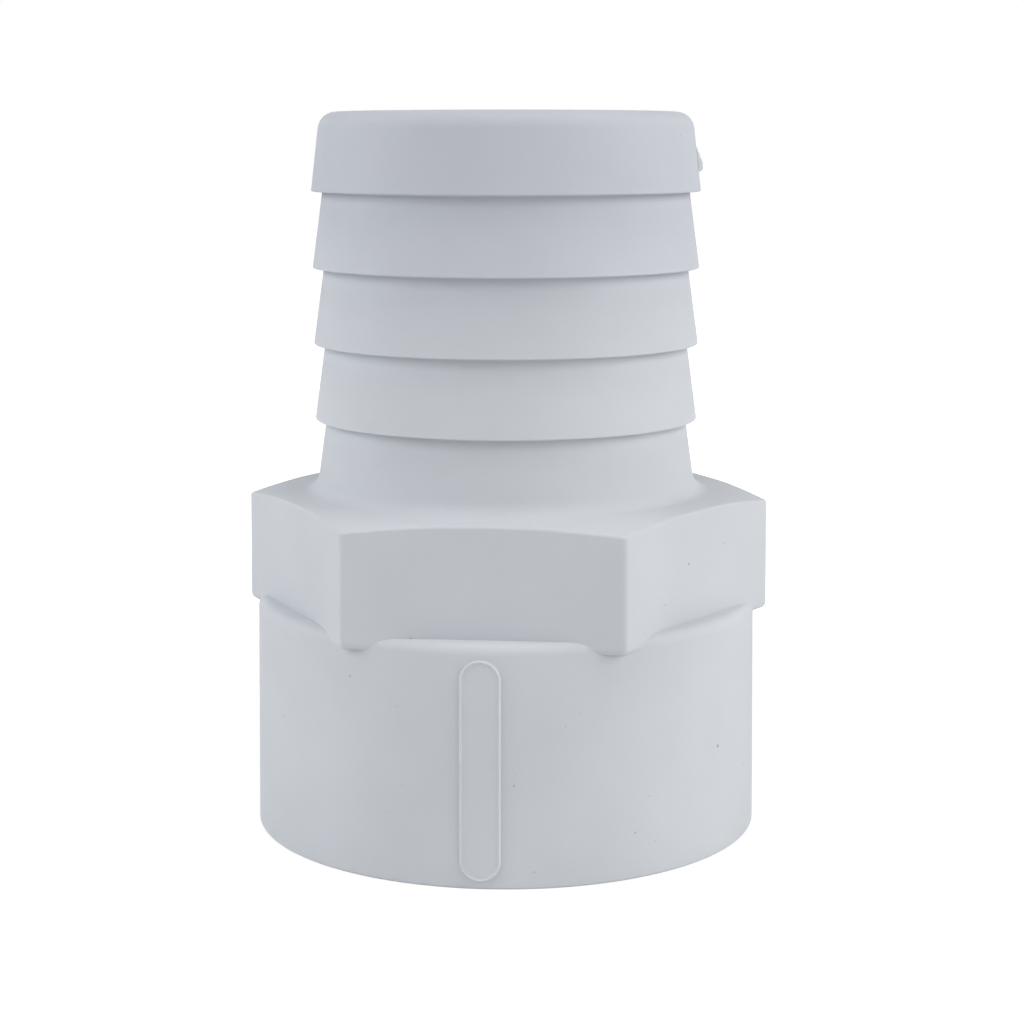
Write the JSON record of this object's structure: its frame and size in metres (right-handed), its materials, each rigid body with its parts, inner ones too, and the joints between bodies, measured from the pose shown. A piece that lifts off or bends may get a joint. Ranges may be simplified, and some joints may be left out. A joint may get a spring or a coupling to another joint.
{
  "type": "threaded hose barb",
  "caption": "Moulded plastic pipe fitting: a round socket with an inside pipe thread, a spanner hexagon and a barbed tail for a hose, with one passage through it.",
  "frame": {"origin": "centre of the socket's open end, which the part stands on", "axes": "+Z along the passage, from the threaded socket towards the barbed tail; the hexagon's front flat and the marking pad face -Y, and two of its corners lie on +X and -X"},
  "size_m": [0.0718, 0.0695, 0.0971],
  "materials": {
    "moulded_plastic": "pale blue-grey satin moulded plastic"
  },
  "bodies": {
    "root": {"hose_barb": "moulded_plastic"}
  },
  "joints": []
}
